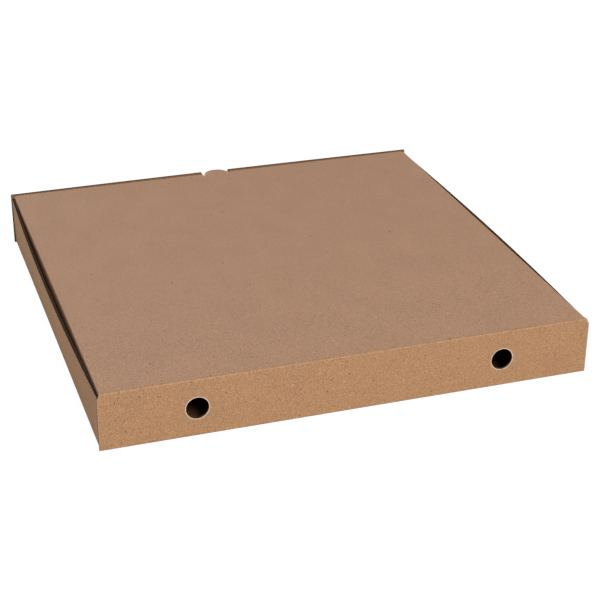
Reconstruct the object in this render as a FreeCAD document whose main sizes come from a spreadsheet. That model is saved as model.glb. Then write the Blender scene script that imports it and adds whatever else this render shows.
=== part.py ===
import FreeCAD, Part
import math
import os

import Sketcher
from FreeCAD import Placement, Rotation, Vector

# A 33 cm pizza box folded from one sheet of fluted kraft board, lid closed.
# X runs along the hinge, Y from the hinge wall to the opening side, Z up.
# The origin is the middle of the underside. Lengths in millimetres, angles in degrees.

doc = FreeCAD.newDocument("pizza_box")
sizes = doc.addObject("Spreadsheet::Sheet", "sizes")

DRIVING_SIZES = [
    ("box_width", "330", "outside, between the folds of the two side walls"),
    ("box_depth", "330", "outside, hinge wall to opening side"),
    ("box_height", "40", "outside, underside to lid"),
    ("board", "1.6", "thickness of the fluted board"),
    ("bend_inner", "0.5", "inner radius of every fold"),
    ("ply_gap", "0.2", "air between two plies that lie together"),
    ("end_cover", "0.7", "hinge wall reaches past the side walls"),
    ("opening_cover", "1.8", "opening wall reaches past the side walls"),
    ("corner_trim", "1", "hinge wall's top corners are cut off by this"),
    ("side_drop", "2.8", "side walls' raw top edge below the lid's face"),
    ("side_lean_corner", "0.9", "side walls lean out at the corners"),
    ("side_lean_middle", "5.8", "side walls lean out at mid-length, where they belly"),
    ("opening_drop", "0.2", "opening wall's raw top edge below the lid's face"),
    ("opening_lean", "1.9", "opening wall leans out in its middle"),
    ("lug_reach", "43", "corner lugs, from the corner to their free end, at the top"),
    ("lug_slant", "7", "corner lugs are shorter by this at the foot"),
    ("lug_foot", "3", "corner lugs end this far above the underside"),
    ("vent_bore", "15", "steam vents in the hinge wall"),
    ("vent_pitch", "206.6", "between the two vents"),
    ("vent_rise", "19.8", "vents above the underside"),
    ("lid_side_gap", "0.2", "lid's side folds inside the side walls' top edge"),
    ("lid_front_gap", "0.3", "lid's tuck fold inside the opening wall's lugs"),
    ("flap_drop", "33", "lid's side flaps, from the lid's face to their raw edge"),
    ("flap_lean", "2.2", "side flaps lean inwards"),
    ("flap_hinge_gap", "0.7", "side flaps stand off the hinge wall's lugs"),
    ("flap_tuck_gap", "0.5", "side flaps stand off the tuck flap"),
    ("flap_slant", "9", "side flaps are shorter by this at each end of their raw edge"),
    ("tuck_drop", "30", "tuck flap, from the lid's face to its raw edge"),
    ("tuck_lean", "3.4", "tuck flap leans inwards"),
    ("tuck_side_gap", "0.3", "tuck flap's ends inside the lid's side folds"),
    ("tuck_slant", "10", "tuck flap is shorter by this at each end of its raw edge"),
    ("tab_radius", "10.3", "half-moon thumb tab"),
    ("tab_inset", "7.4", "tab's centre inside the opening wall's outer face"),
    ("tab_gap", "1", "cut round the tab"),
    ("crease_relief", "2", "each half of the lid's crease stops short of the mitre"),
]
for row, (alias, value, meaning) in enumerate(DRIVING_SIZES, 1):
    sizes.set(f"A{row}", meaning)
    sizes.set(f"B{row}", value)
    sizes.setAlias(f"B{row}", alias)
doc.recompute()

# Sizes worked out from the driving ones
BOARD = "sizes.board"
BEND = "(sizes.board + sizes.bend_inner)"
HALF_WIDTH = "(sizes.box_width / 2)"
HALF_DEPTH = "(sizes.box_depth / 2)"
COVER_HALF = f"({HALF_WIDTH} + sizes.end_cover)"
OPENING_HALF = f"({HALF_WIDTH} + sizes.opening_cover)"
CREASE_HALF = f"({COVER_HALF} - sizes.corner_trim)"
SIDE_TOP = "(sizes.box_height - sizes.side_drop)"
CREASE_FOOT = f"(sizes.box_height - {BEND})"
LUG_FACE = f"({HALF_DEPTH} - sizes.board - sizes.ply_gap)"
SIDE_RUN = f"({LUG_FACE} - {BEND})"
FLOOR_HALF_X = f"({HALF_WIDTH} - {BEND})"
FLOOR_HALF_Y = f"({HALF_DEPTH} - {BEND})"
SIDE_PLY = "(sizes.board / cos(sizes.side_lean_corner))"


def side_face(height):
    """Outer face of a side wall at the corners, from the middle, at a height."""
    tangent = f"{BEND} * (1 - sin(sizes.side_lean_corner))"
    return (
        f"({FLOOR_HALF_X} + {BEND} * cos(sizes.side_lean_corner)"
        f" + ({height} - {tangent}) * tan(sizes.side_lean_corner))"
    )


LID_HALF = f"({side_face(SIDE_TOP)} - {SIDE_PLY} - sizes.lid_side_gap)"
TUCK_FACE = f"({LUG_FACE} - sizes.board - sizes.lid_front_gap)"
PANEL_HALF = f"({LID_HALF} - {BEND})"
PANEL_FRONT = f"({TUCK_FACE} - {BEND})"
TAB_CENTRE = f"({HALF_DEPTH} - sizes.tab_inset)"

X, Y, Z = Vector(1, 0, 0), Vector(0, 1, 0), Vector(0, 0, 1)


def number(expression):
    """Value of an expression on the sizes sheet."""
    return float(sizes.evalExpression(expression))


def bind(thing, bindings):
    """Ties properties to the sizes sheet."""
    for name, expression in bindings.items():
        thing.setExpression(name, expression)
    return thing


def facing(thing, across, up):
    """Turns an object so that its own x runs along across and its own y along up."""
    thing.Placement = Placement(Vector(), Rotation(across, up, across.cross(up), "XYZ"))
    return thing


def dimension(sketch, expression, *constraint):
    """Adds a constraint with a size and ties that size to the sheet."""
    index = sketch.addConstraint(Sketcher.Constraint(*constraint))
    sketch.setExpression(f"Constraints[{index}]", expression)


def fold_profile(name, across, up, start, lean, reach, ply=BOARD):
    """Section of a fold: the bend, the ply that stands up from it and that ply's raw edge.
    Sketch x runs along the sheet to the fold, sketch y from the sheet's outer face inwards."""
    sketch = facing(doc.addObject("Sketcher::SketchObject", name), across, up)
    outer = f"({ply} + sizes.bend_inner)"
    begin, bend, inner = number(start), number(outer), number("sizes.bend_inner")
    angle, top = math.radians(number(lean)), number(reach)
    centre = Vector(begin, bend, 0)
    radial = Vector(math.cos(angle), -math.sin(angle), 0)
    rise = Vector(math.sin(angle), math.cos(angle), 0)
    root_out, root_in = centre + radial * bend, centre + radial * inner
    length = (top - root_out.y) / rise.y
    tip_out, tip_in = root_out + rise * length, root_in + rise * length
    heel_out, heel_in = Vector(begin, 0, 0), Vector(begin, bend - inner, 0)
    bend_out = Part.ArcOfCircle(Part.Circle(centre, Z, bend), -math.pi / 2, -angle)
    bend_in = Part.ArcOfCircle(Part.Circle(centre, Z, inner), -math.pi / 2, -angle)
    arc_out = sketch.addGeometry(bend_out)
    face_out = sketch.addGeometry(Part.LineSegment(root_out, tip_out))
    edge = sketch.addGeometry(Part.LineSegment(tip_out, tip_in))
    face_in = sketch.addGeometry(Part.LineSegment(tip_in, root_in))
    arc_in = sketch.addGeometry(bend_in)
    heel = sketch.addGeometry(Part.LineSegment(heel_in, heel_out))
    for constraint in (
        ("Tangent", arc_out, 2, face_out, 1),
        ("Coincident", face_out, 2, edge, 1),
        ("Coincident", edge, 2, face_in, 1),
        ("Tangent", face_in, 2, arc_in, 2),
        ("Coincident", arc_in, 1, heel, 1),
        ("Coincident", heel, 2, arc_out, 1),
        ("Coincident", arc_out, 3, arc_in, 3),
        ("Vertical", heel),
        ("Vertical", arc_out, 1, arc_out, 3),
        ("Perpendicular", face_out, edge),
        ("Parallel", face_out, face_in),
    ):
        sketch.addConstraint(Sketcher.Constraint(*constraint))
    dimension(sketch, start, "DistanceX", -1, 1, arc_out, 3, begin)
    dimension(sketch, outer, "DistanceY", -1, 1, arc_out, 3, bend)
    dimension(sketch, outer, "Radius", arc_out, bend)
    dimension(sketch, "sizes.bend_inner", "Radius", arc_in, inner)
    dimension(sketch, f"90 - {lean}", "Angle", face_out, math.pi / 2 - angle)
    dimension(sketch, reach, "DistanceY", -1, 1, face_out, 2, top)
    return sketch


def outline(name, across, up, corners):
    """Closed outline with straight sides, each corner placed by two sizes."""
    sketch = facing(doc.addObject("Sketcher::SketchObject", name), across, up)
    points = [Vector(number(x), number(y), 0) for x, y in corners]
    sides = [
        sketch.addGeometry(Part.LineSegment(a, b))
        for a, b in zip(points, points[1:] + points[:1])
    ]
    for side, following in zip(sides, sides[1:] + sides[:1]):
        sketch.addConstraint(Sketcher.Constraint("Coincident", side, 2, following, 1))
    for side, point, (x, y) in zip(sides, points, corners):
        dimension(sketch, x, "DistanceX", -1, 1, side, 1, point.x)
        dimension(sketch, y, "DistanceY", -1, 1, side, 1, point.y)
    return sketch


def extruded(name, sketch, direction, forward, backward="0"):
    """A sketch pushed out along a direction, forward and backward."""
    solid = doc.addObject("Part::Extrusion", name)
    solid.Base = sketch
    solid.DirMode = "Custom"
    solid.Dir = direction
    solid.Solid = True
    return bind(solid, {"LengthFwd": forward, "LengthRev": backward})


def lofted(name, sections, ruled=False):
    """A solid run through several sketches."""
    solid = doc.addObject("Part::Loft", name)
    solid.Sections = sections
    solid.Solid = True
    solid.Ruled = ruled
    return solid


def block(name, low, high):
    """A plate between two corners."""
    plate = doc.addObject("Part::Box", name)
    for axis, side, a, b in zip("xyz", ("Length", "Width", "Height"), low, high):
        bind(plate, {side: f"({b}) - ({a})", f"Placement.Base.{axis}": a})
    return plate


def round_bar(name, radius, length, place, across, up, angle="360"):
    """A round bar along the direction square to across and up, or a sector of one."""
    bar = facing(doc.addObject("Part::Cylinder", name), across, up)
    bind(bar, {"Radius": radius, "Height": length, "Angle": angle})
    return bind(bar, {f"Placement.Base.{axis}": at for axis, at in zip("xyz", place)})


def fused(name, *pieces):
    """Several solids made one."""
    solid = doc.addObject("Part::MultiFuse", name)
    solid.Shapes = list(pieces)
    solid.Refine = True
    return solid


def cut(name, base, *tools):
    """A solid less one or more others."""
    solid = doc.addObject("Part::Cut", name)
    solid.Base = base
    solid.Tool = tools[0] if len(tools) == 1 else fused(f"{name}_tools", *tools)
    solid.Refine = True
    return solid


def common(name, base, tool):
    """What two solids share."""
    solid = doc.addObject("Part::Common", name)
    solid.Base = base
    solid.Tool = tool
    return solid


def mirrored(name, source):
    """The same piece on the other side of the box's middle."""
    solid = doc.addObject("Part::Mirroring", name)
    solid.Source = source
    solid.Normal = X
    return solid


def crease_half(name, half_length, across, up):
    """Half of the rounded crease between hinge wall and lid, up to its mitre."""
    start = f"-{half_length}" if across == Z else half_length
    place = (start, f"-{FLOOR_HALF_Y}", CREASE_FOOT)
    sweep = "45 - sizes.crease_relief"
    skin = round_bar(f"{name}_skin", BEND, f"2 * {half_length}", place, across, up, sweep)
    hollow = round_bar(
        f"{name}_hollow", "sizes.bend_inner", f"2 * {half_length}", place, across, up
    )
    return cut(name, skin, hollow)


def thumb_cut(name):
    """The half-moon cut that frees the thumb tab, through tuck flap and opening wall."""
    radius = "sizes.tab_radius + sizes.tab_gap"
    flat_run = f"{PANEL_FRONT} - {TAB_CENTRE} + {BEND}"
    rise = f"{CREASE_FOOT} + {flat_run}"
    return round_bar(name, radius, "4 * sizes.tab_radius", ("0", TAB_CENTRE, rise), Z, X)


# Tray: floor, hinge wall, opening wall, two side walls and their corner lugs

floor = block(
    "floor",
    (f"-{FLOOR_HALF_X}", f"-{FLOOR_HALF_Y}", "0"),
    (FLOOR_HALF_X, FLOOR_HALF_Y, BOARD),
)

hinge_profile = fold_profile(
    "hinge_wall_profile", -Y, Z, FLOOR_HALF_Y, "0", CREASE_FOOT
)
hinge_strip = extruded("hinge_wall_strip", hinge_profile, X, COVER_HALF, COVER_HALF)
hinge_outline = outline(
    "hinge_wall_outline", X, Z,
    [
        ("0", "0"),
        (f"2 * {COVER_HALF}", "0"),
        (f"2 * {COVER_HALF}", f"{CREASE_FOOT} - sizes.corner_trim"),
        (f"2 * {COVER_HALF} - sizes.corner_trim", CREASE_FOOT),
        ("sizes.corner_trim", CREASE_FOOT),
        ("0", f"{CREASE_FOOT} - sizes.corner_trim"),
    ],
)
bind(hinge_outline, {"Placement.Base.x": f"-{COVER_HALF}"})
hinge_blank = extruded("hinge_wall_blank", hinge_outline, -Y, "sizes.box_depth")
hinge_wall = common("hinge_wall", hinge_strip, hinge_blank)
hinge_crease = crease_half("hinge_wall_crease", CREASE_HALF, -Y, Z)

opening_sections = []
for place, lean in (
    (f"-{OPENING_HALF}", "0"),
    ("0", "sizes.opening_lean"),
    (OPENING_HALF, "0"),
):
    section = fold_profile(
        f"opening_wall_profile_{len(opening_sections)}", Y, Z, FLOOR_HALF_Y, lean,
        "(sizes.box_height - sizes.opening_drop)",
    )
    bind(section, {"Placement.Base.x": place})
    opening_sections.append(section)
opening_wall = lofted("opening_wall", opening_sections)

side_sections = []
for place, lean in (
    (f"-{SIDE_RUN}", "sizes.side_lean_corner"),
    ("0", "sizes.side_lean_middle"),
    (SIDE_RUN, "sizes.side_lean_corner"),
):
    section = fold_profile(
        f"side_wall_profile_{len(side_sections)}", X, Z, FLOOR_HALF_X, lean, SIDE_TOP
    )
    bind(section, {"Placement.Base.y": place})
    side_sections.append(section)
side_wall = lofted("side_wall", side_sections)


def corner_lug(name, towards):
    """Lug folded round the corner, behind the hinge wall or the opening wall."""
    sections = []
    for level, reach in (
        ("sizes.lug_foot", "(sizes.lug_reach - sizes.lug_slant)"),
        (SIDE_TOP, "sizes.lug_reach"),
    ):
        profile_name = f"{name}_profile_{len(sections)}"
        section = fold_profile(profile_name, towards, -X, SIDE_RUN, "0", reach, SIDE_PLY)
        bind(section, {"Placement.Base.x": side_face(level), "Placement.Base.z": level})
        sections.append(section)
    return lofted(name, sections, ruled=True)


right_side = fused(
    "right_side", side_wall, corner_lug("hinge_lug", -Y), corner_lug("opening_lug", Y)
)
left_side = mirrored("left_side", right_side)

vents = [
    round_bar(
        f"vent_{side}", "sizes.vent_bore / 2", "4 * sizes.board",
        (f"{sign} * sizes.vent_pitch / 2", f"-{HALF_DEPTH} - sizes.board", "sizes.vent_rise"),
        Z, X,
    )
    for side, sign in (("left", "-1"), ("right", "1"))
]

tray_walls = fused("tray_walls", floor, hinge_wall, hinge_crease, opening_wall, right_side, left_side)
tray = cut("tray", tray_walls, thumb_cut("opening_wall_thumb_cut"), *vents)

# Lid: panel, two side flaps, tuck flap and thumb tab

panel = block(
    "panel",
    (f"-{PANEL_HALF}", f"-{FLOOR_HALF_Y}", "sizes.box_height - sizes.board"),
    (PANEL_HALF, PANEL_FRONT, "sizes.box_height"),
)
lid_crease = crease_half("lid_crease", CREASE_HALF, Z, -Y)

# The side flaps' folds run the whole depth of the lid, over the hinge wall's lugs.
# Below the bend the flaps are cut back to clear those lugs.
flap_start = f"-{FLOOR_HALF_Y}"
flap_end = f"({TUCK_FACE} - sizes.board - sizes.flap_tuck_gap)"
flap_run = f"({flap_end} + {FLOOR_HALF_Y})"
flap_inset = f"({FLOOR_HALF_Y} - {LUG_FACE} + sizes.board + sizes.flap_hinge_gap)"
flap_depth = f"2 * sizes.flap_drop - {BEND}"
flap_profile = fold_profile(
    "side_flap_profile", X, -Z, PANEL_HALF, "(0 - sizes.flap_lean)", "sizes.flap_drop"
)
bind(flap_profile, {"Placement.Base.y": flap_start, "Placement.Base.z": "sizes.box_height"})
flap_strip = extruded("side_flap_strip", flap_profile, Y, flap_run)
flap_outline = outline(
    "side_flap_outline", Y, -Z,
    [
        ("0", "0"),
        (flap_run, "0"),
        (flap_run, BEND),
        (f"{flap_run} - sizes.flap_slant", flap_depth),
        (f"{flap_inset} + sizes.flap_slant", flap_depth),
        (flap_inset, BEND),
        ("0", BEND),
    ],
)
bind(flap_outline, {"Placement.Base.y": flap_start, "Placement.Base.z": "sizes.box_height"})
flap_blank = extruded("side_flap_blank", flap_outline, X, "sizes.box_width")
right_flap = common("right_flap", flap_strip, flap_blank)
left_flap = mirrored("left_flap", right_flap)

tuck_half = f"({PANEL_HALF} - sizes.tuck_side_gap)"
tuck_depth = f"2 * sizes.tuck_drop - {BEND}"
tuck_profile = fold_profile(
    "tuck_flap_profile", Y, -Z, PANEL_FRONT, "(0 - sizes.tuck_lean)", "sizes.tuck_drop"
)
bind(tuck_profile, {"Placement.Base.z": "sizes.box_height"})
tuck_strip = extruded("tuck_flap_strip", tuck_profile, X, tuck_half, tuck_half)
tuck_outline = outline(
    "tuck_flap_outline", X, -Z,
    [
        ("0", "0"),
        (f"2 * {tuck_half}", "0"),
        (f"2 * {tuck_half}", BEND),
        (f"2 * {tuck_half} - sizes.tuck_slant", tuck_depth),
        ("sizes.tuck_slant", tuck_depth),
        ("0", BEND),
    ],
)
bind(tuck_outline, {"Placement.Base.x": f"-{tuck_half}", "Placement.Base.z": "sizes.box_height"})
tuck_blank = extruded("tuck_flap_blank", tuck_outline, Y, "sizes.box_depth")
tuck_flap = common("tuck_flap", tuck_strip, tuck_blank)

lid_blank = fused("lid_blank", panel, lid_crease, right_flap, left_flap, tuck_flap)
lid_cut = cut("lid_cut", lid_blank, thumb_cut("lid_thumb_cut"))
thumb_tab = round_bar(
    "thumb_tab", "sizes.tab_radius", BOARD,
    ("0", TAB_CENTRE, "sizes.box_height - sizes.board"), X, Y, "180",
)
lid = fused("lid", lid_cut, thumb_tab)

doc.recompute()

for thing in doc.Objects:
    troubles = [state for state in thing.State if state in ("Invalid", "Error")]
    if troubles:
        raise RuntimeError(f"{thing.Name} is {troubles}")

os.makedirs("parts", exist_ok=True)
for piece in (tray, lid):
    shape = piece.Shape
    if shape.isNull() or not shape.isValid() or len(shape.Solids) != 1:
        raise RuntimeError(f"{piece.Label} is not one valid solid")
    shape.exportStep(f"parts/{piece.Label}.step")
    box = shape.optimalBoundingBox(False)
    print(piece.Label, "volume", round(shape.Volume), "faces", len(shape.Faces))
    print("  from", round(box.XMin, 2), round(box.YMin, 2), round(box.ZMin, 2))
    print("  to", round(box.XMax, 2), round(box.YMax, 2), round(box.ZMax, 2))
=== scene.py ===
import math

import bmesh
import bpy
import numpy as np
from mathutils import Matrix, Vector


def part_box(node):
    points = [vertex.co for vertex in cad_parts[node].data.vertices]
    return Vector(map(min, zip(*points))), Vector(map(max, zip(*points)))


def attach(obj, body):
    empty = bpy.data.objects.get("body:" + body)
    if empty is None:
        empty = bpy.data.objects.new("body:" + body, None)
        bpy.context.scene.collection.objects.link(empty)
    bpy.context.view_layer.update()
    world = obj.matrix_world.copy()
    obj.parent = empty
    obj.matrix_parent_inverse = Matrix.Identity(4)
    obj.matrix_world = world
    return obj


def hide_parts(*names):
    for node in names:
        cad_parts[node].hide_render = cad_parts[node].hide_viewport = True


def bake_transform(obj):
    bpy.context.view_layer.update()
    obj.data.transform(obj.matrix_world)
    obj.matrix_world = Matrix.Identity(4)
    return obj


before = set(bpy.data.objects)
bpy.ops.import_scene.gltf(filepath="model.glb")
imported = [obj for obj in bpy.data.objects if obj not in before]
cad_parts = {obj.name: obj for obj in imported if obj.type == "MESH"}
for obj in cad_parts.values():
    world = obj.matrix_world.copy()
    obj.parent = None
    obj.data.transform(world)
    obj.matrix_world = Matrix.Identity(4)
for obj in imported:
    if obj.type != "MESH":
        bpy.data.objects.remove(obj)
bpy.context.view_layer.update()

# Kraft paper
# Both liners and the waved medium are unbleached kraft: brown paper with a cloudy tone, short
# light and dark fibres and a few dark shives. The finish is laid out on the flat blank.

MM = 0.001
FLUTE_PITCH = 3.4
OUTSIDE_COLOUR = (0.447, 0.244, 0.123, 1)
# The inner liner is a little darker than the outer one, and darker still with painted shade for
# the gaps and the box's inside.
INSIDE_SHADED_COLOUR = (0.290, 0.155, 0.078, 1)
# The medium and the cut edges are painted near black: painted shade in the open flutes and in the
# gaps behind the raw ends.
FLUTE_SHADE_COLOUR = (0.070, 0.040, 0.022, 1)
CUT_SHADE_COLOUR = (0.130, 0.075, 0.045, 1)
# Pale frayed fibres along the outer liners' raw edges, with a painted highlight where the edge
# catches the light.
FRAYED_HIGHLIGHT_COLOUR = (0.620, 0.430, 0.280, 1)
SHIVE_COLOUR = (0.130, 0.066, 0.036, 1)
PALE_FIBRE_COLOUR = (0.640, 0.440, 0.290, 1)
PAPER_SHINE = 0.10
PAPER_ROUGHNESS = 0.75
ROUGHNESS_VARIES = 0.25
CUT_ROUGHNESS = 0.85

# Grains to a metre, along the hinge and across it
CLOUD_GRAINS = (45, 30)
MOTTLE_GRAINS = (420, 300)
PULP_GRAINS = (1500, 1050)
FIBRE_GRAINS = (1500, 900)
FLUFF_GRAINS = (1800, 1800)

# Noise at which a fibre begins to show, and at which it shows in full
FIBRE_CORE = (0.10, 0.16)

# Cells to a metre, a speck's size in its cell, and the share of cells that hold one
SHIVES = (120, 0.08, 0.26)
FINE_SHIVES = (330, 0.19, 0.18)
PALE_SPECKS = (290, 0.20, 0.12)

# Cells across the hinge to each one along it, a speck's solid part, and its share's soft edge
SPECK_STRETCH = 0.6
SPECK_CORE = 0.5
LOT_EDGE = 0.02

# How much each of them changes the paper's tone
CLOUD_TONE = 0.16
MOTTLE_TONE = 0.26
PULP_TONE = 1.7
FLUTE_TONE = 0.006
FLUFF_TONE = 0.5

# How much of its own colour each of them shows
DARK_FIBRE_SHARE = 0.52
PALE_FIBRE_SHARE = 0.46
SHIVE_SHARE = 0.90
FINE_SHIVE_SHARE = 0.60
PALE_SPECK_SHARE = 0.50

# Cracked folds and frayed edges, patchy with the mottle. The pale fold line is cracked paper and
# also a painted highlight; frayed outer edges carry a painted highlight, inner ones painted shade.
PATCHY = 0.15
CRACK_HIGHLIGHT_LEAST = 0.08
CRACK_HIGHLIGHT_VARIES = 0.16
FRAY_PAINT_LEAST = 0.50
FRAY_PAINT_VARIES = 0.40

# How much each of them adds to the surface's relief
MOTTLE_RELIEF = 0.5
PULP_RELIEF = 0.35
FIBRE_RELIEF = 0.3
FLUTE_RELIEF = 0.25

# Strength of the relief, and its height in millimetres
LINER_RELIEF = (0.5, 0.06)
CUT_RELIEF = (0.6, 0.08)

# The grain weakens over the lid, between two distances in millimetres from the floor's middle
GRAIN_FULL = 1.1
GRAIN_FADE = 0.7
FADE_START = 220
FADE_END = 380


class Wire:
    """A socket of a finish. Arithmetic on wires adds the Math nodes for it."""

    def __init__(self, tree, socket=None):
        self.tree = tree
        self.socket = socket

    def node(self, kind, settings, sockets, output=0):
        """Adds a node: its settings first, then the values or links of its sockets."""
        made = self.tree.nodes.new(kind)
        for name, value in settings.items():
            setattr(made, name, value)
        feed(made, sockets)
        return Wire(self.tree, made.outputs[output])

    def other(self, output):
        """Another output of the node that this wire comes from."""
        return Wire(self.tree, self.socket.node.outputs[output])

    def maths(self, operation, *values):
        settings = {"operation": operation}
        return self.node("ShaderNodeMath", settings, dict(enumerate(values)))

    def __add__(self, other):
        return self.maths("ADD", self, other)

    def __radd__(self, other):
        return self.maths("ADD", other, self)

    def __sub__(self, other):
        return self.maths("SUBTRACT", self, other)

    def __rsub__(self, other):
        return self.maths("SUBTRACT", other, self)

    def __mul__(self, other):
        return self.maths("MULTIPLY", self, other)

    def __rmul__(self, other):
        return self.maths("MULTIPLY", other, self)

    def sine(self):
        return self.maths("SINE", self)

    def ramp(self, low, high):
        """From 0 at low to 1 at high, with soft ends."""
        settings = {"interpolation_type": "SMOOTHSTEP"}
        sockets = {"Value": self, "From Min": low, "From Max": high}
        return self.node("ShaderNodeMapRange", settings, sockets)

    def tint(self, colour, other):
        """Mixes from one colour to another by this mask."""
        settings = {"data_type": "RGBA", "clamp_factor": True}
        return self.node("ShaderNodeMix", settings, {0: self, 6: colour, 7: other}, 2)


def feed(node, sockets):
    """Links wires to a node's sockets, and sets the sockets that have a plain value."""
    for name, value in sockets.items():
        if isinstance(value, Wire):
            value.tree.links.new(value.socket, node.inputs[name])
        else:
            node.inputs[name].default_value = value


def new_finish(name):
    """A plain finish: its material, a wire to build nodes with, and its shader."""
    material = bpy.data.materials.new(name)
    material.use_nodes = True
    tree = material.node_tree
    return material, Wire(tree), tree.nodes["Principled BSDF"]


def stretched(place, grains):
    """Coordinates scaled by so many grains to a metre, along the hinge and across it."""
    factors = {0: place, 1: (*grains, 1.0)}
    return place.node("ShaderNodeVectorMath", {"operation": "MULTIPLY"}, factors)


def grain(place, grains, detail=2.0, rough=0.5, distortion=0.0):
    """Noise, as a value about 0."""
    sockets = {
        "Vector": stretched(place, grains),
        "Scale": 1.0,
        "Detail": detail,
        "Roughness": rough,
        "Distortion": distortion,
    }
    return place.node("ShaderNodeTexNoise", {"noise_dimensions": "3D"}, sockets) - 0.5


def specks(place, density, size, share):
    """A small blot in a share of the cells of the blank."""
    settings = {"feature": "F1", "distance": "EUCLIDEAN"}
    sockets = {"Vector": stretched(place, (density, density * SPECK_STRETCH)), "Scale": 1.0}
    cells = place.node("ShaderNodeTexVoronoi", settings, sockets, "Distance")
    lot = place.node("ShaderNodeSeparateColor", {}, {"Color": cells.other("Color")})
    blot = 1 - cells.ramp(size * SPECK_CORE, size)
    return blot * lot.ramp(1 - share, 1 - share + LOT_EDGE)


def relief(height, strength, rise):
    """The normal of a surface that rises by so many millimetres."""
    sockets = {"Strength": strength, "Distance": rise * MM, "Height": height}
    return height.node("ShaderNodeBump", {}, sockets)


def kraft(name, colour, fray_and_edge_paint_colour, fleck=1.0, washboard=1.0):
    """A kraft liner's finish. Along its raw edges it turns to a colour of their own: pale frayed
    fibres with a painted highlight on an outer liner, painted shade on the inner one.
    """
    material, bench, shader = new_finish(name)
    place = bench.node("ShaderNodeUVMap", {"uv_map": "blank"}, {})
    # This map holds the fold and raw-edge masks: wear, together with a painted highlight and
    # painted shade.
    wear_and_painted_light = bench.node("ShaderNodeUVMap", {"uv_map": "wear_and_painted_light"}, {})
    crease = bench.node("ShaderNodeSeparateXYZ", {}, {"Vector": wear_and_painted_light}, "X")
    raw = crease.other("Y")
    across = bench.node("ShaderNodeSeparateXYZ", {}, {"Vector": place}, "Y")

    cloud = grain(place, CLOUD_GRAINS, detail=3.0)
    mottle = grain(place, MOTTLE_GRAINS, detail=3.0, rough=0.65)
    pulp = grain(place, PULP_GRAINS, rough=0.75, distortion=1.0)
    fibre = grain(place, FIBRE_GRAINS, detail=1.0, distortion=3.0)
    faded = (0 - across).ramp(FADE_START * MM, FADE_END * MM)
    coarse = (GRAIN_FULL - faded * GRAIN_FADE) * fleck
    dark_fibre = fibre.ramp(*FIBRE_CORE) * coarse
    pale_fibre = (0 - fibre).ramp(*FIBRE_CORE) * coarse
    tone = cloud * CLOUD_TONE + mottle * MOTTLE_TONE + pulp * PULP_TONE * coarse
    wave = (across * (2 * math.pi / (FLUTE_PITCH * MM))).sine()

    shade = {"Color": colour, "Value": 1 + tone + wave * (FLUTE_TONE * washboard)}
    paper = bench.node("ShaderNodeHueSaturation", {}, shade)
    paper = (dark_fibre * DARK_FIBRE_SHARE).tint(paper, SHIVE_COLOUR)
    paper = (pale_fibre * PALE_FIBRE_SHARE).tint(paper, PALE_FIBRE_COLOUR)
    paper = (specks(place, *SHIVES) * SHIVE_SHARE).tint(paper, SHIVE_COLOUR)
    fine_shives = specks(place, *FINE_SHIVES) * FINE_SHIVE_SHARE * coarse
    paper = fine_shives.tint(paper, SHIVE_COLOUR)
    pale_specks = specks(place, *PALE_SPECKS) * PALE_SPECK_SHARE * coarse
    paper = pale_specks.tint(paper, PALE_FIBRE_COLOUR)
    patchy = mottle.ramp(-PATCHY, PATCHY)
    # Folds take a pale line: cracked fibres, and a painted highlight along the bend.
    cracked_and_highlit = crease * (CRACK_HIGHLIGHT_LEAST + patchy * CRACK_HIGHLIGHT_VARIES)
    paper = cracked_and_highlit.tint(paper, PALE_FIBRE_COLOUR)
    # Raw edges: frayed fibres and a painted highlight on the outer liners, painted shade on the
    # inner liner.
    fray_and_edge_paint = raw * (FRAY_PAINT_LEAST + patchy * FRAY_PAINT_VARIES)
    paper = fray_and_edge_paint.tint(paper, fray_and_edge_paint_colour)

    height = mottle * MOTTLE_RELIEF + pulp * PULP_RELIEF + fibre * FIBRE_RELIEF
    height = height + wave * (FLUTE_RELIEF * washboard)
    feed(shader, {
        "Base Color": paper,
        "Roughness": PAPER_ROUGHNESS + mottle * ROUGHNESS_VARIES,
        "Normal": relief(height, *LINER_RELIEF),
        "Specular IOR Level": PAPER_SHINE,
    })
    return material


def shaded_pulp(name, colour):
    """The raw paper that a cut edge or an open flute shows, darkened to painted shade."""
    material, bench, shader = new_finish(name)
    place = bench.node("ShaderNodeTexCoord", {}, {}, "Object")
    fluff = grain(place, FLUFF_GRAINS, detail=3.0, rough=0.7)
    shade = {"Color": colour, "Value": 1 + fluff * FLUFF_TONE}
    feed(shader, {
        "Base Color": bench.node("ShaderNodeHueSaturation", {}, shade),
        "Roughness": CUT_ROUGHNESS,
        "Normal": relief(fluff, *CUT_RELIEF),
        "Specular IOR Level": PAPER_SHINE,
    })
    return material


outside_paper = kraft("outside_liner", OUTSIDE_COLOUR, FRAYED_HIGHLIGHT_COLOUR)
inside_shaded_paper = kraft("inside_liner_shaded", INSIDE_SHADED_COLOUR, FLUTE_SHADE_COLOUR, fleck=0.8, washboard=1.6)
flute_shade_paper = shaded_pulp("fluted_medium_shaded", FLUTE_SHADE_COLOUR)
cut_shade_paper = shaded_pulp("cut_edge_shaded", CUT_SHADE_COLOUR)

# Fluted board
# Two liners with a waved medium glued between them, 1.6 mm thick. The flutes run along the
# hinge in the flat blank, so they lie level in the two end walls and stand upright in the sides.
# Lengths are in millimetres until a mesh is made.

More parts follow.
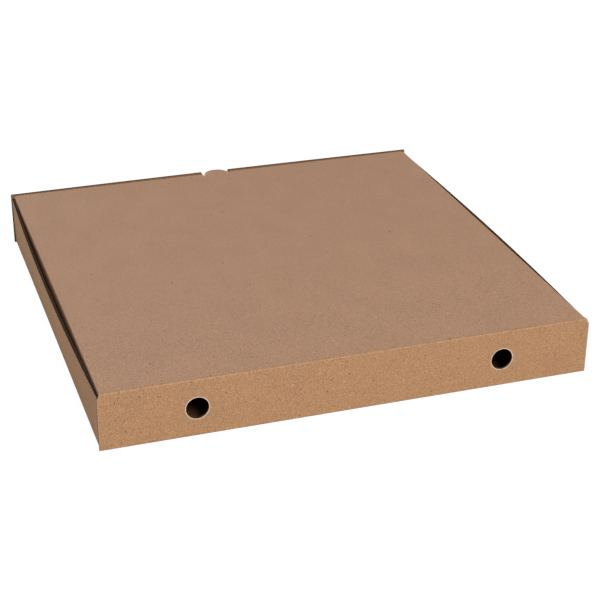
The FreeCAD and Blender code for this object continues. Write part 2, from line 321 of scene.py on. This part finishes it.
BOARD = 1.6
BEND = 2.1
LINER = 0.24
MEDIUM = 0.18
RIM = 0.5
FOLD_RADIUS = 0.9
BEND_STEPS = 8
STEPS_TO_A_FLUTE = 6
CREASE_SHARPNESS = 10
SHARP_EDGE = 35
RISE_DIGITS = 4
TURN_DIGITS = 6
WELD_DIGITS = 3
WELD = 10**-WELD_DIGITS
TOUCHING = 1e-6
BEND_RUN = (BEND - BOARD / 2) * math.pi / 2
WAVE = (BOARD - 2 * LINER - MEDIUM) / 2
FLUTE_STEP = FLUTE_PITCH / STEPS_TO_A_FLUTE
OUTSIDE, INSIDE, FLUTES, CUT = range(4)


def fold(turn, depth, lean, reach):
    """Section of a fold. Turn 0 to 1 goes round the bend, 1 to 2 up the ply to its raw edge.
    The score has crushed the board there, so its outside turns on a small radius.
    Gives the run along the sheet and the rise from its outer face."""
    sweep = math.pi / 2 - math.radians(lean)
    radius = FOLD_RADIUS + (BEND - BOARD - FOLD_RADIUS) * depth / BOARD
    flat = (BEND - depth - radius) * math.tan(sweep / 2)
    gone = np.minimum(turn, 1) * (2 * flat + radius * sweep)
    angle = np.clip((gone - flat) / radius, 0, sweep)
    before = np.minimum(gone, flat)
    after = np.maximum(gone - flat - radius * sweep, 0)
    root = BEND * (1 - math.cos(sweep))
    after = after + np.maximum(turn - 1, 0) * (reach - root) / math.sin(sweep)
    run = before + radius * np.sin(angle) + after * math.cos(sweep)
    rise = depth + radius * (1 - np.cos(angle)) + after * math.sin(sweep)
    return run, rise


def bellied_fold(turn, depth, leans, reach, share):
    """A fold that leans by the first angle at its wall's ends, where the share is -1 and 1, and
    by the second in the middle."""
    run, rise = fold(turn, depth, leans[0], reach)
    middle_run, middle_rise = fold(turn, depth, leans[1], reach)
    belly = 1 - share**2
    return run + (middle_run - run) * belly, rise + (middle_rise - rise) * belly


def sheet_run(turn, reach):
    """How far along the flat blank a turn of a fold lies from its heel."""
    return np.minimum(turn, 1) * BEND_RUN + np.maximum(turn - 1, 0) * (reach - BEND)


def turn_at(run, reach):
    """The turn of a fold at a distance along the flat blank."""
    return np.minimum(run / BEND_RUN, 1) + np.maximum(run - BEND_RUN, 0) / (reach - BEND)


def turn_of(rise, reach):
    """The turn of a fold at a rise above its bend."""
    return 1 + (rise - BEND) / (reach - BEND)


def fold_turns(reach, ply_steps, *marks):
    """Turns of a fold from its heel to its raw edge, with one at each rise asked for."""
    bend = np.linspace(0, 1, BEND_STEPS + 1)
    even = np.linspace(BEND, reach, ply_steps + 1)
    rises = np.unique(np.round(np.r_[even, reach - RIM, marks], RISE_DIGITS))
    return np.r_[bend, turn_of(rises[1:], reach)]


def fine(low, high):
    """Rows close enough together to follow the flutes."""
    steps = max(1, math.ceil((high - low) / FLUTE_STEP))
    return np.linspace(low, high, steps + 1)


def fluted_turns(reach, marks):
    """Turns of a fold close enough together to follow the flutes, with the marks among them."""
    turns = turn_at(fine(0, sheet_run(2, reach)), reach)
    return np.unique(np.round(np.r_[turns, marks], TURN_DIGITS))


def crossing(turn):
    """1 along the middle of a bend, a narrow line, and 0 where the board is flat."""
    return np.sin(np.pi * np.clip(turn, 0, 1)) ** CREASE_SHARPNESS


def end_crease(turn, x):
    return crossing(turn)


def side_crease(y, turn):
    return crossing(turn)


def half_chord(radius, off):
    """Half the width of a round cut, at a distance from its centre."""
    half = np.sqrt(np.maximum(radius**2 - off**2, 0))
    return np.where(np.abs(off) > radius - TOUCHING, 0, half)


def grid(*measures):
    """Measures of a stretch side by side, at each of its points."""
    return np.stack(np.broadcast_arrays(*measures), -1)


def patch(rows, columns, place, blank, crease=None):
    """A stretch of the sheet. Rows and columns are grids of its own measures, place folds them
    into the box at a depth, and blank lays them on the flat sheet."""
    rows, columns = np.broadcast_arrays(rows, columns)
    worn_and_lit = np.zeros(rows.shape) if crease is None else crease(rows, columns)
    return {
        "place": lambda depth: place(rows, columns, depth),
        "blank": grid(*blank(rows, columns)),
        "crease": np.broadcast_to(worn_and_lit, rows.shape),
    }


def spread(low, high, count):
    """Columns from low to high in each row, with a narrow one along each end."""
    low, high = np.broadcast_arrays(np.atleast_1d(low), np.atleast_1d(high))
    inner = np.linspace(low + RIM, high - RIM, count)
    return np.column_stack([low, *inner, high])


def layer(patches, near, far, finishes):
    """One paper of the board, between two depths: its stretches welded where they meet and
    closed along every edge. The edges at the lid's crease run on, so they are not raw."""
    near_finish, far_finish, edge_finish = finishes
    points, blanks, creases, quads = [], [], [], []
    count = 0
    for piece in patches:
        across = piece["blank"][..., 1]
        pair = [piece["place"](near(across)), piece["place"](far(across))]
        height, width = across.shape
        points.append(np.concatenate([p.reshape(-1, 3) for p in pair], axis=1))
        blanks.append(piece["blank"].reshape(-1, 2))
        creases.append(piece["crease"].reshape(-1))
        index = np.arange(height * width).reshape(height, width) + count
        corners = (index[:-1, :-1], index[1:, :-1], index[1:, 1:], index[:-1, 1:])
        quads.append(np.stack(corners, -1).reshape(-1, 4))
        count += height * width
    points, blanks, creases = map(np.concatenate, (points, blanks, creases))
    _, first, weld = np.unique(
        np.round(points, WELD_DIGITS), axis=0, return_index=True, return_inverse=True
    )
    faces = []
    for quad in weld.reshape(-1)[np.concatenate(quads)].tolist():
        corners = [v for k, v in enumerate(quad) if v != quad[k - 1]]
        if len(corners) > 2:
            faces.append(corners)
    uses = {}
    for face in faces:
        for a, b in zip(face, face[1:] + face[:1]):
            edge = (min(a, b), max(a, b))
            uses[edge] = uses.get(edge, 0) + 1
    rim = np.array([edge for edge, count in uses.items() if count == 1])
    rows = blanks[first, 1][rim]
    scored = (np.ptp(rows, axis=1) < WELD) & (np.abs(rows[:, 0] - CREASE_ROW) < BEND_RUN)
    raw = np.zeros(len(first))
    raw[rim[~scored]] = 1
    far_start = len(first)
    polygons = [(face, near_finish) for face in faces]
    polygons += [([v + far_start for v in reversed(face)], far_finish) for face in faces]
    polygons += [([b, a, a + far_start, b + far_start], edge_finish) for a, b in rim.tolist()]
    return {
        "points": np.concatenate([points[first, :3], points[first, 3:]]),
        "blank": np.tile(blanks[first], (2, 1)),
        "wear_and_painted_light": np.tile(np.column_stack([creases[first], raw]), (2, 1)),
        "polygons": polygons,
    }


def straight(depth):
    """A liner's face: the same depth all over."""
    return lambda across: np.full(across.shape, depth)


def waved(offset, height):
    """A face of the medium, which follows the flutes across the blank."""
    return lambda across: (
        BOARD / 2 + height * np.cos(across * 2 * math.pi / FLUTE_PITCH) + offset
    )


def board(name, liner_patches, medium_patches, outer_paper, wave=WAVE):
    """A piece of board: outer liner, fluted medium and inner liner in one mesh."""
    medium_faces = (waved(-MEDIUM / 2, wave), waved(MEDIUM / 2, wave))
    layers = [
        layer(liner_patches, straight(0), straight(LINER), (OUTSIDE, FLUTES, CUT)),
        layer(medium_patches, *medium_faces, (FLUTES, FLUTES, FLUTES)),
        layer(liner_patches, straight(BOARD - LINER), straight(BOARD), (FLUTES, INSIDE, CUT)),
    ]
    vertices, faces, finishes, blanks, wear_and_painted_light_loops = [], [], [], [], []
    for sheet in layers:
        start = len(vertices)
        vertices += (sheet["points"] * MM).tolist()
        for corners, finish in sheet["polygons"]:
            faces.append([v + start for v in corners])
            finishes.append(finish)
            blanks += [sheet["blank"][v] * MM for v in corners]
            wear_and_painted_light_loops += [sheet["wear_and_painted_light"][v] for v in corners]
    mesh = bpy.data.meshes.new(name)
    mesh.from_pydata(vertices, [], faces)
    mesh.uv_layers.new(name="blank").uv.foreach_set("vector", np.ravel(blanks))
    mesh.uv_layers.new(name="wear_and_painted_light").uv.foreach_set("vector", np.ravel(wear_and_painted_light_loops))
    mesh.polygons.foreach_set("material_index", finishes)
    mesh.polygons.foreach_set("use_smooth", [True] * len(faces))
    for finish in (outer_paper, inside_shaded_paper, flute_shade_paper, cut_shade_paper):
        mesh.materials.append(finish)
    shell = bmesh.new()
    shell.from_mesh(mesh)
    bmesh.ops.recalc_face_normals(shell, faces=shell.faces)
    shell.to_mesh(mesh)
    shell.free()
    mesh.set_sharp_from_angle(angle=math.radians(SHARP_EDGE))
    piece = bpy.data.objects.new(name, mesh)
    bpy.context.scene.collection.objects.link(piece)
    return piece


# Tray: floor, hinge wall and opening wall
# The middle strip of the blank. The hinge wall stands up square with two punched steam vents,
# and its top runs on into the lid. The opening wall's raw top edge has the half-moon thumb cut.

tray_low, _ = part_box("tray")
_, lid_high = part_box("lid")
HALF_DEPTH = -tray_low.y / MM
HALF_WIDTH = HALF_DEPTH
HEIGHT = lid_high.z / MM
FLOOR_HALF_X = HALF_WIDTH - BEND
FLOOR_HALF_Y = HALF_DEPTH - BEND
END_COVER = 0.7
COVER_HALF = HALF_WIDTH + END_COVER
OPENING_COVER = 1.0
OPENING_HALF = HALF_WIDTH + OPENING_COVER
OPENING_DROP = 0.2
OPENING_TOP = HEIGHT - OPENING_DROP
OPENING_LEANS = (0, 1.9)
CREASE_FOOT = HEIGHT - BEND
CREASE_ROW = -FLOOR_HALF_Y - sheet_run(2, CREASE_FOOT) - BEND_RUN / 2
CORNER_TRIM = 1.0
TRIM_START = CREASE_FOOT - CORNER_TRIM
VENT_RADIUS = 7.5
VENT_X = 103.3
VENT_Z = 19.8
VENT_ROW = FLOOR_HALF_Y + BEND_RUN + VENT_Z - BEND
VENT_RIM = 0.3
VENT_RIM_COLOUR = (0.850, 0.700, 0.550, 1)
VENT_RIM_SHARE = 0.85
VENT_ROWS = 33
THUMB_RADIUS = 11.3
THUMB_Z = 41.6
THUMB_ROWS = 18
PLY_GAP = 0.2
SIDE_RUN = HALF_DEPTH - BOARD - PLY_GAP - BEND
END_WALL_STEPS = 6
SHEET_ROWS = 15
FLOOR_COLUMNS = 5

# The medium has close rows of its own, so it takes only every fourth or third row of a round cut
VENT_SKIP = 4
THUMB_SKIP = 3


def punched_rims(finish):
    """Pale frayed paper round the two vents, where the punch has torn the liner."""
    tree = finish.node_tree
    shader = tree.nodes["Principled BSDF"]
    plain = Wire(tree, shader.inputs["Base Color"].links[0].from_socket)
    place = plain.node("ShaderNodeUVMap", {"uv_map": "blank"}, {})
    along = plain.node("ShaderNodeSeparateXYZ", {}, {"Vector": place}, "X")
    off_x = along.maths("ABSOLUTE", along) - VENT_X * MM
    off_y = along.other("Y") + VENT_ROW * MM
    squared = off_x * off_x + off_y * off_y
    low, high = VENT_RADIUS + VENT_RIM, VENT_RADIUS + 2 * VENT_RIM
    torn = 1 - squared.ramp((low * MM) ** 2, (high * MM) ** 2)
    feed(shader, {"Base Color": (torn * VENT_RIM_SHARE).tint(plain, VENT_RIM_COLOUR)})


punched_rims(outside_paper)


def floor_place(y, x, depth):
    return grid(x, y, depth)


def floor_blank(y, x):
    return x, y


def hinge_wall_place(turn, x, depth):
    run, rise = fold(turn, depth, 0, CREASE_FOOT)
    return grid(x, -FLOOR_HALF_Y - run, rise)


def hinge_wall_blank(turn, x):
    return x, -FLOOR_HALF_Y - sheet_run(turn, CREASE_FOOT)


def opening_wall_place(turn, x, depth):
    run, rise = bellied_fold(turn, depth, OPENING_LEANS, OPENING_TOP, x / OPENING_HALF)
    return grid(x, FLOOR_HALF_Y + run, rise)


def opening_wall_blank(turn, x):
    return x, FLOOR_HALF_Y + sheet_run(turn, OPENING_TOP)


def hinge_wall(turns):
    """The hinge wall's stretches: two ends past the floor, and the wall round the vents."""
    turns = turns[:, None]
    rise = fold(turns, 0, 0, CREASE_FOOT)[1]
    end = COVER_HALF - np.maximum(rise - TRIM_START, 0)
    bore = half_chord(VENT_RADIUS, rise - VENT_Z)[:, 0]
    ends = np.hstack([end, end - RIM, np.full_like(end, FLOOR_HALF_X)])
    outer = spread(-FLOOR_HALF_X, -VENT_X - bore, FLOOR_COLUMNS)
    middle = spread(bore - VENT_X, VENT_X - bore, 2 * FLOOR_COLUMNS)
    rules = (hinge_wall_place, hinge_wall_blank, end_crease)
    return [patch(turns, x, *rules) for x in (-ends, outer, middle, -outer, ends)]


def opening_wall(turns):
    """The opening wall's stretches: two ends past the floor, and the wall beside the thumb cut."""
    turns = turns[:, None]
    rise = fold(turns, 0, 0, OPENING_TOP)[1]
    cut = half_chord(THUMB_RADIUS, rise - THUMB_Z)[:, 0]
    ends = np.full(turns.shape, OPENING_HALF) - [[0, RIM, OPENING_COVER + BEND]]
    vent_line = np.full(len(turns), -VENT_X)
    outer = spread(-FLOOR_HALF_X, vent_line, FLOOR_COLUMNS)
    middle = spread(vent_line, -cut, FLOOR_COLUMNS)
    rules = (opening_wall_place, opening_wall_blank, end_crease)
    return [patch(turns, x, *rules) for x in (-ends, outer, middle, -middle, -outer, ends)]


def tray_floor(rows):
    """The floor's stretches, with the columns of both walls."""
    still = np.zeros(len(rows))
    outer = spread(-FLOOR_HALF_X + still, -VENT_X + still, FLOOR_COLUMNS)
    middle = spread(-VENT_X + still, VENT_X + still, 2 * FLOOR_COLUMNS)
    rules = (floor_place, floor_blank)
    return [patch(rows[:, None], x, *rules) for x in (outer, middle, -outer)]


vent_angles = np.linspace(-math.pi / 2, math.pi / 2, VENT_ROWS)
vent_rises = VENT_Z + VENT_RADIUS * np.sin(vent_angles)
vent_rims = (VENT_Z - VENT_RADIUS - RIM, VENT_Z + VENT_RADIUS + RIM)
thumb_angles = np.linspace(0, math.acos((THUMB_Z - OPENING_TOP) / THUMB_RADIUS), THUMB_ROWS)
thumb_rises = THUMB_Z - THUMB_RADIUS * np.cos(thumb_angles)
thumb_rim = THUMB_Z - THUMB_RADIUS - RIM
side_rows = np.linspace(-SIDE_RUN, SIDE_RUN, SHEET_ROWS)
middle_liners = [
    *hinge_wall(fold_turns(CREASE_FOOT, END_WALL_STEPS, *vent_rises, *vent_rims, TRIM_START)),
    *tray_floor(np.r_[-FLOOR_HALF_Y, side_rows, FLOOR_HALF_Y]),
    *opening_wall(fold_turns(OPENING_TOP, END_WALL_STEPS, *thumb_rises, thumb_rim)),
]
hinge_marks = turn_of(np.r_[vent_rises[::VENT_SKIP], TRIM_START], CREASE_FOOT)
opening_marks = turn_of(thumb_rises[::THUMB_SKIP], OPENING_TOP)
middle_medium = [
    *hinge_wall(fluted_turns(CREASE_FOOT, hinge_marks)),
    *tray_floor(np.unique(np.r_[fine(-FLOOR_HALF_Y, FLOOR_HALF_Y), -SIDE_RUN, SIDE_RUN])),
    *opening_wall(fluted_turns(OPENING_TOP, opening_marks)),
]

# Tray: side walls and corner lugs
# Each side wall is a single ply folded up from the floor, with a raw top edge, and bellies out
# between its corners. Its ends turn the corners as lugs, tucked behind the other two walls.

SIDE_DROP = 2.8
SIDE_TOP = HEIGHT - SIDE_DROP
CORNER_LEAN = 0.9
SIDE_LEANS = (CORNER_LEAN, 5.8)
SIDE_WALL_STEPS = 4
LUG_REACH = 43.0
LUG_RUN = sheet_run(2, LUG_REACH)
LUG_SLANT = 7.0
LUG_FOOT = 3.0
LUG_FOOT_SLACK = 0.1
LUG_MIDDLE = 16.0
LUG_TIP = 5.0
LUG_TIP_ROWS = 5


def side_wall(side, rows, turns):
    """A side wall between its corners."""

    def place(y, turn, depth):
        run, rise = bellied_fold(turn, depth, SIDE_LEANS, SIDE_TOP, y / SIDE_RUN)
        return grid(side * (FLOOR_HALF_X + run), y, rise)

    def blank(y, turn):
        return side * (FLOOR_HALF_X + sheet_run(turn, SIDE_TOP)), y

    return patch(rows[:, None], turns[None, :], place, blank, side_crease)


def corner_lug(side, end, rows, turns):
    """A lug from its corner to its slanted free end."""

    def place(around, turn, depth):
        run, level = fold(turn, 0, CORNER_LEAN, SIDE_TOP)
        heel_run, heel_level = fold(turn, depth, CORNER_LEAN, SIDE_TOP)
        out, inward = fold(turn_at(around, LUG_REACH), depth, 0, LUG_REACH)
        turned = around > 0
        x = np.where(turned, FLOOR_HALF_X + run - inward, FLOOR_HALF_X + heel_run)
        z = np.where(turned, level, heel_level)
        return grid(side * x, end * (SIDE_RUN + out), z)

    def blank(around, turn):
        return side * (FLOOR_HALF_X + sheet_run(turn, SIDE_TOP)), end * (SIDE_RUN + around)

    def crease(around, turn):
        return crossing(around / BEND_RUN)

    rows = rows[:, None]
    cut_share = np.clip((rows - (LUG_RUN - LUG_SLANT)) / LUG_SLANT, 0, 1)
    low, high = turns[0], turns[-1]
    share = (turns[None, :] - low) / (high - low)
    columns = low + (high - low) * (cut_share + (1 - cut_share) * share)
    return patch(rows, columns, place, blank, crease)


side_turns = fold_turns(SIDE_TOP, SIDE_WALL_STEPS, LUG_FOOT, LUG_FOOT + RIM)
ply_turns = side_turns[side_turns > 1]
ply_rises = fold(ply_turns, 0, CORNER_LEAN, SIDE_TOP)[1]
lug_turns = ply_turns[ply_rises > LUG_FOOT - LUG_FOOT_SLACK]
bend_rows = np.linspace(0, BEND_RUN, BEND_STEPS + 1)
tip_rows = np.linspace(LUG_RUN - LUG_TIP, LUG_RUN, LUG_TIP_ROWS)
lug_rows = np.r_[bend_rows, LUG_MIDDLE, LUG_RUN - LUG_SLANT, tip_rows]
side_liners, side_medium = [], []
for side in (-1, 1):
    side_liners.append(side_wall(side, side_rows, side_turns))
    side_medium.append(side_wall(side, fine(-SIDE_RUN, SIDE_RUN), side_turns))
    for end in (-1, 1):
        side_liners.append(corner_lug(side, end, lug_rows, lug_turns))
        side_medium.append(corner_lug(side, end, fine(0, LUG_RUN), lug_turns))

tray_liners = middle_liners + side_liners
tray_medium = middle_medium + side_medium
tray = board("tray_board", tray_liners, tray_medium, outside_paper)
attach(tray, "tray")
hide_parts("tray")

# Lid: panel, side flaps, tuck flap and thumb tab
# The lid runs on from the hinge wall. Its side flaps and tuck flap fold down inside the tray,
# and the half-moon tab, freed by the thumb cut in the tuck fold, stays in the lid's plane.

# The lid's outer liner is the tray's kraft made lighter and bluer by a painted sheen: the white
# reflection seen on its top.
LID_SHEEN_COLOUR = (0.462, 0.270, 0.172, 1)
LID_GAP = 0.2
SIDE_FACE = FLOOR_HALF_X + fold(2, 0, CORNER_LEAN, SIDE_TOP)[0]
LID_HALF = SIDE_FACE - BOARD / math.cos(math.radians(CORNER_LEAN)) - LID_GAP
LID_START = -FLOOR_HALF_Y
LID_BLANK = CREASE_ROW - BEND_RUN / 2
PANEL_HALF = LID_HALF - BEND
TUCK_GAP = 0.3
TUCK_FACE = HALF_DEPTH - 2 * BOARD - PLY_GAP - TUCK_GAP
PANEL_FRONT = TUCK_FACE - BEND
TAB_RADIUS = 10.3
TAB_CENTRE = lid_high.y / MM - TAB_RADIUS
TAB_ROWS = 15
TAB_COLUMNS = 9
FLAP_DROP = 33.0
FLAP_LEAN = -2.2
FLAP_INSET = 2.0
FLAP_START = LID_START + FLAP_INSET
FLAP_END = PANEL_FRONT
FLAP_SLANT = 4.5
FLAP_STEPS = 4
TUCK_DROP = 30.0
TUCK_LEAN = -3.4
TUCK_SLANT = 5.0
TUCK_STEPS = 5
TUCK_TRIM = 0.3
TUCK_HALF = PANEL_HALF - TUCK_TRIM
CUT_HALF = half_chord(THUMB_RADIUS, THUMB_Z - HEIGHT)

lid_sheen_paper = kraft("lid_liner_sheen", LID_SHEEN_COLOUR, FRAYED_HIGHLIGHT_COLOUR)


def panel_place(y, x, depth):
    return grid(x, y, HEIGHT - depth)


def panel_blank(y, x):
    return x, LID_BLANK - (y - LID_START)


def side_flap(side, rows, turns):
    """A side flap. Its fold runs the lid's whole depth, and its ply is shorter at both ends."""

    def place(y, turn, depth):
        run, rise = fold(turn, depth, FLAP_LEAN, FLAP_DROP)
        return grid(side * (PANEL_HALF + run), y, HEIGHT - rise)

    def blank(y, turn):
        return side * (PANEL_HALF + sheet_run(turn, FLAP_DROP)), LID_BLANK - (y - LID_START)

    rows = rows[:, None]
    from_end = np.minimum(rows - FLAP_START, FLAP_END - rows)
    ply = np.maximum(turns[None, :] - 1, 0) * np.clip(from_end / FLAP_SLANT, 0, 1)
    columns = np.minimum(turns[None, :], 1) + ply
    return patch(rows, columns, place, blank, side_crease)


def tuck_place(turn, x, depth):
    run, rise = fold(turn, depth, TUCK_LEAN, TUCK_DROP)
    return grid(x, PANEL_FRONT + run, HEIGHT - rise)


def tuck_blank(turn, x):
    return x, LID_BLANK - (PANEL_FRONT - LID_START) - sheet_run(turn, TUCK_DROP)


def tuck_flap(turns):
    """The tuck flap on both sides of the thumb cut."""
    rise = fold(turns, 0, TUCK_LEAN, TUCK_DROP)[1]
    cut = half_chord(THUMB_RADIUS, THUMB_Z - HEIGHT + rise)
    end = TUCK_HALF - TUCK_SLANT * np.maximum(rise - BEND, 0) / (TUCK_DROP - BEND)
    columns = spread(-end, -cut, 2 * FLOOR_COLUMNS)
    rules = (tuck_place, tuck_blank, end_crease)
    return [patch(turns[:, None], x, *rules) for x in (columns, -columns)]


side_columns = np.r_[-PANEL_HALF, spread(-TUCK_HALF, -CUT_HALF, 2 * FLOOR_COLUMNS)[0]]
tab_columns = np.linspace(-TAB_RADIUS, TAB_RADIUS, TAB_COLUMNS)
panel_columns = np.r_[side_columns, tab_columns, -side_columns[::-1]]


def panel(rows):
    """The flat of the lid up to the thumb cut, and the two strips beside the cut."""
    whole = rows[rows <= TAB_CENTRE + TOUCHING]
    beside = rows[rows >= TAB_CENTRE - TOUCHING]
    strips = [(whole, panel_columns), (beside, side_columns), (beside, -side_columns)]
    return [patch(y[:, None], x[None, :], panel_place, panel_blank) for y, x in strips]


def thumb_tab(rows):
    """The half-moon, from the lid's flat to its tip."""
    half = half_chord(TAB_RADIUS, rows - TAB_CENTRE)
    columns = half[:, None] * (tab_columns / TAB_RADIUS)
    return patch(rows[:, None], columns, panel_place, panel_blank)


def lid_sheet(panel_rows, tuck_turns, tab_rows):
    """All stretches of the lid, along the rows of one of its papers."""
    flap_turns = fold_turns(FLAP_DROP, FLAP_STEPS)
    flaps = [side_flap(side, panel_rows, flap_turns) for side in (-1, 1)]
    return [*panel(panel_rows), *tuck_flap(tuck_turns), thumb_tab(tab_rows), *flaps]


panel_marks = [FLAP_START, FLAP_START + FLAP_SLANT, TAB_CENTRE, FLAP_END - FLAP_SLANT, FLAP_END]
panel_rows = np.r_[np.linspace(LID_START, PANEL_FRONT, SHEET_ROWS), panel_marks]
panel_fine = np.r_[fine(LID_START, PANEL_FRONT), panel_marks]
tuck_angles = np.linspace(0, math.acos((THUMB_Z - HEIGHT) / THUMB_RADIUS), THUMB_ROWS)
tuck_rises = HEIGHT - THUMB_Z + THUMB_RADIUS * np.cos(tuck_angles)
tuck_rises = tuck_rises[tuck_rises > BEND]
tab_angles = np.linspace(0, math.pi / 2, TAB_ROWS)
lid_liners = lid_sheet(
    np.unique(panel_rows),
    fold_turns(TUCK_DROP, TUCK_STEPS, *tuck_rises),
    TAB_CENTRE + TAB_RADIUS * np.sin(tab_angles),
)
lid_medium = lid_sheet(
    np.unique(panel_fine),
    fluted_turns(TUCK_DROP, turn_of(tuck_rises[::THUMB_SKIP], TUCK_DROP)),
    fine(TAB_CENTRE, TAB_CENTRE + TAB_RADIUS),
)
lid = board("lid_board", lid_liners, lid_medium, lid_sheen_paper)
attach(lid, "lid")
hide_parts("lid")

# Lid crease
# The scored line that the lid turns on, where hinge wall and lid are one sheet. The score has
# crushed the flutes, so the board bends round a small radius; its paper cracks pale, and that pale
# line is also a painted highlight along the fold.

CREASE_HALF = lid_high.x / MM
CREASE_ROWS = 16
CREASE_COLUMNS = 110
CRUSHED_WAVE = 0.35 * WAVE


def crease_place(turn, x, depth):
    run, rise = fold(1 - turn, depth, 0, BEND)
    return grid(x, -FLOOR_HALF_Y - run, HEIGHT - rise)


def crease_blank(turn, x):
    return x, LID_BLANK + BEND_RUN * (1 - turn)


crease_turns = np.linspace(0, 1, CREASE_ROWS + 1)
crease_half = CREASE_HALF + (LID_HALF - CREASE_HALF) * crease_turns
crease_columns = spread(-crease_half, crease_half, CREASE_COLUMNS)
crease_rules = (crease_place, crease_blank, end_crease)
crease_strip = [patch(crease_turns[:, None], crease_columns, *crease_rules)]
crease = board("hinge_crease", crease_strip, crease_strip, outside_paper, CRUSHED_WAVE)
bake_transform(crease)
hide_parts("tray", "lid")

# Table, lamps and camera
# The box stands on a plain white table in front of a white ground, lit softly from the front
# and above, with a weak lamp at the left and one behind. The camera looks down on the hinge
# wall's side from a little to its left.

WHITE = (1, 1, 1, 1)
TABLE_HALF = 6.0
TABLE_SINK = 0.0002
TABLE_COLOUR = (0.80, 0.80, 0.80, 1)
TABLE_GLOW = 1.12
TABLE_SEEN = 0.85
SKY_LEVEL = 0.10
SKY_SEEN = 1.0
KEY_PLACE = (0.40, -2.05, 1.95)
KEY_SIZE = 1.4
KEY_WATTS = 67.0
FILL_PLACE = (-2.10, -1.30, 1.20)
FILL_SIZE = 1.4
FILL_WATTS = 10.0
BACK_PLACE = (-0.50, 2.30, 0.90)
BACK_SIZE = 1.2
BACK_WATTS = 24.0
CAMERA_PLACE = (-0.30255, -0.95323, 0.49828)
CAMERA_YAW = 18.620
CAMERA_PITCH = 26.456
CAMERA_ROLL = 0.400
CAMERA_LENS = 91.11


def seen_rays(tree):
    """1 for the camera's rays and for glossy and clear ones, which see the white ground."""
    camera_ray = Wire(tree).node("ShaderNodeLightPath", {}, {}, "Is Camera Ray")
    seen = camera_ray
    for name in ("Is Glossy Ray", "Is Transmission Ray"):
        seen = seen.maths("MAXIMUM", seen, camera_ray.other(name))
    return seen


corners = [(-TABLE_HALF, -TABLE_HALF, 0), (TABLE_HALF, -TABLE_HALF, 0)]
corners += [(TABLE_HALF, TABLE_HALF, 0), (-TABLE_HALF, TABLE_HALF, 0)]
table_mesh = bpy.data.meshes.new("table")
table_mesh.from_pydata(corners, [], [(0, 1, 2, 3)])
table = bpy.data.objects.new("table", table_mesh)
table.location = (0, 0, -TABLE_SINK)
bpy.context.scene.collection.objects.link(table)
table_white, bench, table_shader = new_finish("table_white")
table_mesh.materials.append(table_white)
matt = {"Base Color": TABLE_COLOUR, "Roughness": 1.0, "Specular IOR Level": 0.0}
feed(table_shader, matt)
glow = bench.node("ShaderNodeEmission", {}, {"Color": WHITE, "Strength": TABLE_GLOW})
lit = Wire(bench.tree, table_shader.outputs[0])
share = seen_rays(bench.tree) * TABLE_SEEN
surface = bench.node("ShaderNodeMixShader", {}, {0: share, 1: lit, 2: glow})
feed(bench.tree.nodes["Material Output"], {"Surface": surface})

world = bpy.data.worlds.new("white_ground")
bpy.context.scene.world = world
world.use_nodes = True
sky_strength = SKY_LEVEL + seen_rays(world.node_tree) * (SKY_SEEN - SKY_LEVEL)
feed(world.node_tree.nodes["Background"], {"Color": WHITE, "Strength": sky_strength})


def softbox(name, place, size, watts):
    """A square soft lamp that looks at the middle of the box's underside."""
    lamp = bpy.data.lights.new(name, "AREA")
    lamp.size = size
    lamp.energy = watts
    holder = bpy.data.objects.new(name, lamp)
    holder.location = place
    holder.rotation_euler = (-Vector(place)).to_track_quat("-Z", "Y").to_euler()
    bpy.context.scene.collection.objects.link(holder)


softbox("key_lamp", KEY_PLACE, KEY_SIZE, KEY_WATTS)
softbox("fill_lamp", FILL_PLACE, FILL_SIZE, FILL_WATTS)
softbox("back_lamp", BACK_PLACE, BACK_SIZE, BACK_WATTS)

camera_data = bpy.data.cameras.new("camera")
camera_data.lens = CAMERA_LENS
camera = bpy.data.objects.new("camera", camera_data)
yaw, pitch, roll = (math.radians(a) for a in (CAMERA_YAW, CAMERA_PITCH, CAMERA_ROLL))
ahead = Vector((
    math.sin(yaw) * math.cos(pitch), math.cos(yaw) * math.cos(pitch), -math.sin(pitch)
))
level = Vector((math.cos(yaw), -math.sin(yaw), 0))
upward = level.cross(ahead)
right = level * math.cos(roll) + upward * math.sin(roll)
top = upward * math.cos(roll) - level * math.sin(roll)
camera.matrix_world = Matrix((right, top, -ahead)).transposed().to_4x4()
camera.location = CAMERA_PLACE
bpy.context.scene.collection.objects.link(camera)
bpy.context.scene.camera = camera
bpy.context.scene.view_settings.view_transform = "Standard"
